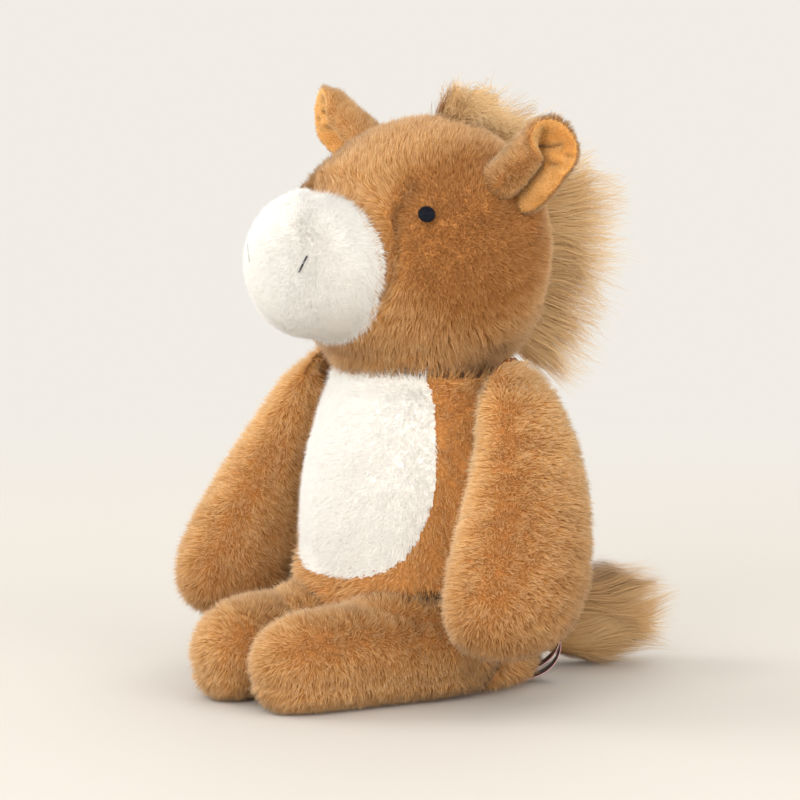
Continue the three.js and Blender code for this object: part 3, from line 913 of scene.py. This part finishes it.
# A place on an ear: across from -1, the front rim, to 1, the rear rim; up from 0 to 1; and
# how far out of the leaf, with the fur's side positive
def ear_place(side, across, up, out):
    opened = eased((up - 0.72) / 0.24)
    front, front_reach, rear, rear_reach = EAR_ROLL[side]
    blunt = 3.4 if up > 0.5 else 2.6
    leaf = math.sqrt(max(0, 1 - abs(2 * up - 1) ** blunt))
    # The front half rolls over. The rear half curls too, and then runs straight.
    if across < 0:
        radius = front + 0.006 * opened
        turn = -across * leaf * front_reach / radius
        middle = Vector((-radius * math.sin(turn), radius * math.cos(turn) - radius))
        facing = Vector((-math.sin(turn), math.cos(turn)))
    else:
        reach = across * leaf * rear_reach * (0.93 + 0.07 * min(1, up / 0.6))
        radius = rear + 0.012 * opened
        turn = min(reach / radius, 1.04 - 0.3 * opened)
        middle = Vector((radius * math.sin(turn), radius * math.cos(turn) - radius))
        straight = max(0, reach - radius * turn)
        middle += Vector((math.cos(turn), -math.sin(turn))) * straight
        facing = Vector((math.sin(turn), math.cos(turn)))
    middle += facing * out
    local = EAR_TURN[side] @ Vector((middle.x - EAR_MIDDLE, middle.y, up * EAR_LENGTH))
    local += EAR_ROOT[side]
    return head_world((local.x * side, local.y, local.z))


# One of an ear's two pads: a ball pressed onto its side of the leaf
def ear_pad(name, side, part, finish):
    mesh = bmesh.new()
    ball(mesh, 96, 64)
    for vert in mesh.verts:
        up = (1 + vert.co.z) / 2
        ring = max(1e-6, math.sqrt(max(0, 1 - vert.co.z ** 2)))
        across = max(-1, min(1, vert.co.x / ring))
        bulge = max(0, vert.co.y / ring) * min(1, ring * 1.4)
        thick = 0.003 + 0.0055 * (1 - up) if part == "back" else LINING
        vert.co = ear_place(side, across, up, bulge * thick + math.copysign(0.00015, thick))
    bmesh.ops.recalc_face_normals(mesh, faces=mesh.faces)
    if mesh.calc_volume(signed=True) < 0:
        bmesh.ops.reverse_faces(mesh, faces=mesh.faces)
    return new_piece(name, mesh, finish)


# Folds pressed into a lining, along routes on it
def press_folds(piece, routes, width, depth):
    mesh = bmesh.new()
    mesh.from_mesh(piece.data)
    mesh.normal_update()
    moves = [
        vert.normal * (-depth * max(nearness(vert.co, route, width) for route in routes))
        for vert in mesh.verts]
    for vert, move in zip(mesh.verts, moves):
        vert.co += move
    mesh.to_mesh(piece.data)
    mesh.free()


# A test of which places on a pad aren't covered by the pad that lies on it
def uncovered(cover):
    tree = search_tree(cover.data)

    def owner(places, facings):
        return np.array([
            tree.ray_cast(start, facing, 0.0012)[0] is None
            for start, facing in zip(places.tolist(), facings.tolist())])
    return owner


# Where the folds of the lining run: [across, up] on the leaf
EAR_FOLDS = (
    ((0.05, 0.7), (0.24, 0.77), (0.42, 0.85)),
    ((0.53, 0.675), (0.76, 0.765), (0.97, 0.825)),
    ((0.77, 0.84), (0.98, 0.89)),
)


# The slit beside the front roll, where the opening goes deep. The nap is painted dark along it, as
# shade.
EAR_SLIT = (
    (-0.4, 0.9), (-0.23, 0.84), (-0.15, 0.76), (0.02, 0.66), (0.08, 0.565), (0.17, 0.45),
    (0.27, 0.36))


# Painted shade: darker nap down in the folds and in the slit, where shade falls
def fold_shade_look(folds, slit):
    def look(roots, out):
        deep = np.array([
            max(nearness(place, slit, 0.0026), *(nearness(place, fold, 0.0014) for fold in folds))
            for place in map(Vector, roots.tolist())])
        return 1 - 0.5 * deep, 0.95 - 0.95 * deep
    return look


def ear(side_name, side, seed):
    body = "ear_" + side_name
    back = ear_pad(body + "_back_pad", side, "back", BROWN_BACKING)
    lining = ear_pad(body + "_lining_pad", side, "lining", GOLD_BACKING)
    folds = [[ear_place(side, *point, LINING) for point in fold] for fold in EAR_FOLDS]
    slit = [ear_place(side, *point, LINING) for point in EAR_SLIT]
    press_folds(lining, folds, 0.0012, 0.0034)
    for piece, slot, node in (
            (back, "brown_fur", body + "_back"), (lining, "gold_plush", body + "_lining")):
        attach(piece, body)
        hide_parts(node)
    up = HEAD_TURN @ Vector((0.7 * side, 0.1, 0.7))
    rim = np.array([
        ear_place(side, edge, (i + 1) / 25, 0) for edge in (-1, 1) for i in range(24)])

    # Shorter fur beside the rim
    def look(roots, out):
        away = np.linalg.norm(roots[:, None] - rim[None], axis=2).min(1)
        return 0.45 + 0.55 * np.clip((away - 0.001) / 0.007, 0, 1), np.full(len(roots), 0.62)

    fur(body + "_back_fur", back, body, BROWN_FUR,
        count=15000, length=0.0046, width=0.00044,
        comb=combed(up, 0.45), look=look, seed=seed, owner=uncovered(lining))
    # The lining's nap, with painted shade in its folds and slit
    fur(body + "_lining_nap", lining, body, GOLD_NAP,
        count=11000, length=0.0014, width=0.0005,
        comb=combed(up, 0.5), look=fold_shade_look(folds, slit), seed=seed + 1,
        owner=uncovered(back))


ear("left", 1, 71)
ear("right", -1, 81)


# Points along a wavy curve from a root, by way of a bend, to a tip, for many hairs at once
def wavy(roots, bends, tips, seed):
    t = np.linspace(0, 1, HAIR_POINTS)[None, :, None]
    roots, bends, tips = roots[:, None], bends[:, None], tips[:, None]
    paths = roots * (1 - t) ** 2 + bends * 2 * t * (1 - t) + tips * t ** 2
    return paths + drift(paths.reshape(-1, 3), 0.03, seed).reshape(paths.shape) * t * 0.003


# How pale each long hair is, which varies from lock to lock, and how wide it is
def lock_look(rng, locks, own, tone, width):
    pale = tone + 0.3 * (rng.random(locks)[own] - 0.5) + rng.normal(size=len(own)) * 0.18
    return pale, width * rng.uniform(0.6, 1.2, len(own)) / math.sqrt(HAIR_SHARE)


# Where the mane ends: [back, up] from the head's centre, from the crown to the nape
MANE_EDGE = np.array([
    (0.012, 0.069), (0.03, 0.071), (0.052, 0.067), (0.075, 0.06), (0.098, 0.05), (0.12, 0.034),
    (0.138, 0.012), (0.144, -0.018), (0.138, -0.043), (0.124, -0.066), (0.106, -0.08),
])


# Where rays from the head's centre come out of it, as seen from that centre
def out_of_head(rays):
    tree = search_tree(head.data)
    places = []
    for ray in map(Vector, unit(rays) @ np.array(HEAD_TURN).T):
        hit = tree.ray_cast(HEAD_CENTRE + ray * 0.2, -ray)[0]
        places.append(hit if hit else HEAD_CENTRE + ray * 0.055)
    return head_local(np.array(places))


# The mane: locks of long hair from the middle of the head, combed back and down. along runs
# from 0 at the crown to 1 at the nape, and sideways from -1 to 1.
def mane(name, count, seed, reach):
    rng = np.random.default_rng(seed)
    count = int(count * HAIR_SHARE)
    locks = 70
    lock_place = rng.random(locks)
    lock_side = rng.uniform(-1, 1, locks)
    own = rng.integers(0, locks, count)
    along = np.abs(lock_place[own] + rng.normal(size=count) * 0.035)
    along = 1 - np.abs(1 - along)
    sideways = np.clip(lock_side[own] + rng.normal(size=count) * 0.25, -1, 1)
    # The roots run from the top of the head to its back, low down
    angle = np.radians(87 - along * 135)
    rays = np.column_stack([sideways * 0.13, np.cos(angle), np.sin(angle)])
    roots = out_of_head(rays)
    edge_at = np.clip(along + 0.02, 0, 1) * (len(MANE_EDGE) - 1)
    low = np.minimum(edge_at.astype(int), len(MANE_EDGE) - 2)
    part = (edge_at - low)[:, None]
    edge = MANE_EDGE[low] * (1 - part) + MANE_EDGE[low + 1] * part
    lock_reach = rng.uniform(0.78, 1.04, locks)[own]
    shorter = 0.5 * rng.random(count) ** 0.9
    far = reach * lock_reach * (1.02 - shorter + rng.normal(size=count) * 0.045)
    flare = (rng.normal(size=(locks, 3)) * np.array((0.007, 0.006, 0.006)))[own]
    tips = np.column_stack([sideways * 0.014, edge]) + flare
    tips = roots + (tips - roots) * far[:, None] + rng.normal(size=(count, 3)) * 0.0028
    bends = (roots + tips) / 2 + unit(rays) * 0.012 * rng.uniform(0.4, 1.5, count)[:, None]
    bends[:, 2] += 0.006
    bends += rng.normal(size=(count, 3)) * 0.002
    paths = np.array(HEAD_CENTRE) + wavy(roots, bends, tips, seed + 5) @ np.array(HEAD_TURN).T
    outward = np.sign(sideways) * (0.4 + np.abs(sideways))
    facing = unit(np.column_stack([outward, np.zeros(count), np.full(count, 0.5)]))
    tone, width = lock_look(rng, locks, own, 0.54, 0.00024)
    piece = long_hair(name, paths, width, facing, tone, MANE_HAIR, "head")
    return piece


mane("mane_under", count=9500, seed=91, reach=0.82)
over = mane("mane_over", count=9500, seed=92, reach=1.0)
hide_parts("mane")


# The tail: a brush of hair bundled at its root
def tail():
    rng = np.random.default_rng(101)
    count = int(9000 * HAIR_SHARE)
    turn = math.radians(40)
    bearing = Vector((math.sin(turn), math.cos(turn), 0))
    start = Vector((0, 0.066, 0.022))
    end = start + bearing * 0.079 + Vector((0, 0, 0.0085))
    beside = Vector((bearing.y, -bearing.x, 0))
    locks = 36
    round_place = rng.uniform(0, 2 * math.pi, locks)
    out_place = np.sqrt(rng.random(locks))
    own = rng.integers(0, locks, count)
    angle = round_place[own] + rng.normal(size=count) * 0.35
    away = np.clip(out_place[own] + rng.normal(size=count) * 0.18, 0, 1.05)
    spread = np.column_stack([np.cos(angle), np.sin(angle)]) * away[:, None]
    plane = np.array([beside, (0, 0, 1)])
    roots = np.array(start - bearing * 0.019) + spread @ plane * 0.007
    long = rng.uniform(0.72, 1.03, locks)[own] * rng.uniform(0.8, 1.05, count)
    tips = np.array(start) + (np.array(end - start))[None] * long[:, None]
    tips = tips + spread @ plane * 0.025 + rng.normal(size=(count, 3)) * 0.002
    bends = np.array(start + (end - start) * 0.45) + spread @ plane * 0.024
    paths = wavy(roots, bends, tips, 105)
    facing = unit(spread @ plane + np.array((0, 0, 0.4)))
    # Its low tone is painted shade: the tail's hair is darker than the mane's for the shade it lies
    # in
    tone, width = lock_look(rng, locks, own, 0.14, 0.0004)
    piece = long_hair("tail_brush", paths, width, facing, tone, MANE_HAIR, "tail")
    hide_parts("tail_hair")


tail()


# The label's way, seen from its side. The outer layer runs up to the fold, and the inner one
# back down, bowed away from it.
def label_route(steps=14):
    # How far out it starts and ends, and how high
    root, out, foot, rise = 0.038, 0.0705, 0.0011, 0.0215
    route = []
    for layer in (1, -1):
        row = [i / steps for i in range(steps + 1)]
        for t in (row if layer == 1 else row[::-1]):
            x = root * (1 - t) ** 2 + out * 2 * t * (1 - t) + out * t * t
            z = foot * (1 - t) ** 2 + foot * 2 * t * (1 - t) + rise * t * t
            run = Vector((2 * (1 - t) * (out - root), 0, 2 * t * (rise - foot))).normalized()
            bow = 0.0032 * math.sin(math.pi * t) if layer == -1 else 0
            aside = Vector((run.z, 0, -run.x)) * ((0.0004 + bow) * layer)
            route.append(Vector((x + aside.x, 0, max(0.0008, z + aside.z))))
    return route


# The label: a bare ribbon folded in two, its ends in the seam under the seat
def label():
    turn = Matrix.Rotation(math.radians(45), 3, "Z")
    route = label_route()
    mesh = bmesh.new()
    half, columns = 0.007, 6
    bmesh.ops.create_grid(mesh, x_segments=columns, y_segments=len(route) - 1, size=1)
    layer = mesh.loops.layers.uv.new("OFBake")
    mesh.verts.ensure_lookup_table()
    place = {}
    for vert in mesh.verts:
        column = round((vert.co.x + 1) / 2 * columns)
        row = round((vert.co.y + 1) / 2 * (len(route) - 1))
        place[vert] = (column / columns, row / (len(route) - 1))
        point = route[row] + Vector((0, (column / columns * 2 - 1) * half, 0))
        vert.co = turn @ point + Vector((0.005, -0.011, 0))
    for face in mesh.faces:
        for loop in face.loops:
            loop[layer].uv = place[loop.vert]
    bmesh.ops.recalc_face_normals(mesh, faces=mesh.faces)
    piece = new_piece("ribbon_label", mesh, RIBBON)
    thick = piece.modifiers.new("Solidify", "SOLIDIFY")
    thick.thickness = 0.00035
    thick.offset = 0
    settle(piece)
    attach(piece, "torso")
    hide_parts("care_label")


label()


# 1 for what the camera sees, also in a reflection or through something clear
def seen_directly(nodes, links):
    path = nodes.new("ShaderNodeLightPath")
    sight = path.outputs["Is Camera Ray"]
    for kind in ("Is Glossy Ray", "Is Transmission Ray"):
        either = nodes.new("ShaderNodeMath")
        either.operation = "MAXIMUM"
        links.new(sight, either.inputs[0])
        links.new(path.outputs[kind], either.inputs[1])
        sight = either.outputs[0]
    return sight


# The output shows one shader, and by a share another in its place
def mix_shaders(nodes, links, share, one, other, output):
    mix = nodes.new("ShaderNodeMixShader")
    links.new(share, mix.inputs["Fac"])
    links.new(one.outputs[0], mix.inputs[1])
    links.new(other.outputs[0], mix.inputs[2])
    links.new(mix.outputs[0], nodes[output].inputs["Surface"])


# The floor. Far from the horse it takes the backdrop's colour.
def floor():
    mesh = bmesh.new()
    bmesh.ops.create_grid(mesh, x_segments=1, y_segments=1, size=8)
    finish, nodes, links, shader = new_finish("pale_floor", 0.8)
    shader.inputs["Base Color"].default_value = colour("CFC9C0")
    place = nodes.new("ShaderNodeTexCoord")
    away = nodes.new("ShaderNodeVectorMath")
    away.operation = "LENGTH"
    links.new(place.outputs["Object"], away.inputs[0])
    fade = nodes.new("ShaderNodeMapRange")
    fade.interpolation_type = "SMOOTHSTEP"
    fade.inputs["From Min"].default_value = 0.3
    fade.inputs["From Max"].default_value = 1.4
    links.new(away.outputs["Value"], fade.inputs["Value"])
    lit = nodes.new("ShaderNodeEmission")
    lit.inputs["Color"].default_value = colour(BACKDROP)
    seen = nodes.new("ShaderNodeMath")
    seen.operation = "MULTIPLY"
    links.new(seen_directly(nodes, links), seen.inputs[0])
    links.new(fade.outputs[0], seen.inputs[1])
    mix_shaders(nodes, links, seen.outputs[0], shader, lit, "Material Output")
    new_piece("floor", mesh, finish)


# Soft light from all round, with the backdrop in its place where it is seen
def studio():
    world = bpy.data.worlds.new("studio")
    bpy.context.scene.world = world
    world.use_nodes = True
    nodes, links = world.node_tree.nodes, world.node_tree.links
    seen = nodes.new("ShaderNodeBackground")
    seen.inputs["Color"].default_value = colour(BACKDROP)
    lit = nodes["Background"]
    lit.inputs["Color"].default_value = (1, 0.98, 0.95, 1)
    lit.inputs["Strength"].default_value = 0.76
    mix_shaders(nodes, links, seen_directly(nodes, links), lit, seen, "World Output")


def lamps():
    aim = Vector((0, 0, 0.15))
    for name, place, power in (
            ("key", (0.9, -2.0, 0.95), 40.0),
            ("fill", (2.2, -0.2, 0.85), 23.0),
            ("side", (-1.9, -1.1, 0.95), 31.0),
            ("rear", (-1.3, 1.9, 1.0), 14.0),
            ("top", (-0.2, 0.5, 2.2), 6.0)):
        lamp = bpy.data.lights.new(name, "AREA")
        lamp.size = 1.8
        lamp.energy = power
        holder = put_in_scene(name, lamp)
        holder.location = place
        holder.rotation_euler = (Vector(place) - aim).to_track_quat("Z", "Y").to_euler()


def camera():
    data = bpy.data.cameras.new("camera")
    data.lens = LENS / PHOTO_SIZE * SENSOR
    data.sensor_width = SENSOR
    holder = put_in_scene("camera", data)
    holder.location = CAMERA_PLACE
    holder.rotation_euler = CAMERA_TURN.to_euler()
    bpy.context.scene.camera = holder
    bpy.context.scene.view_settings.view_transform = "Standard"


floor()
studio()
lamps()
camera()
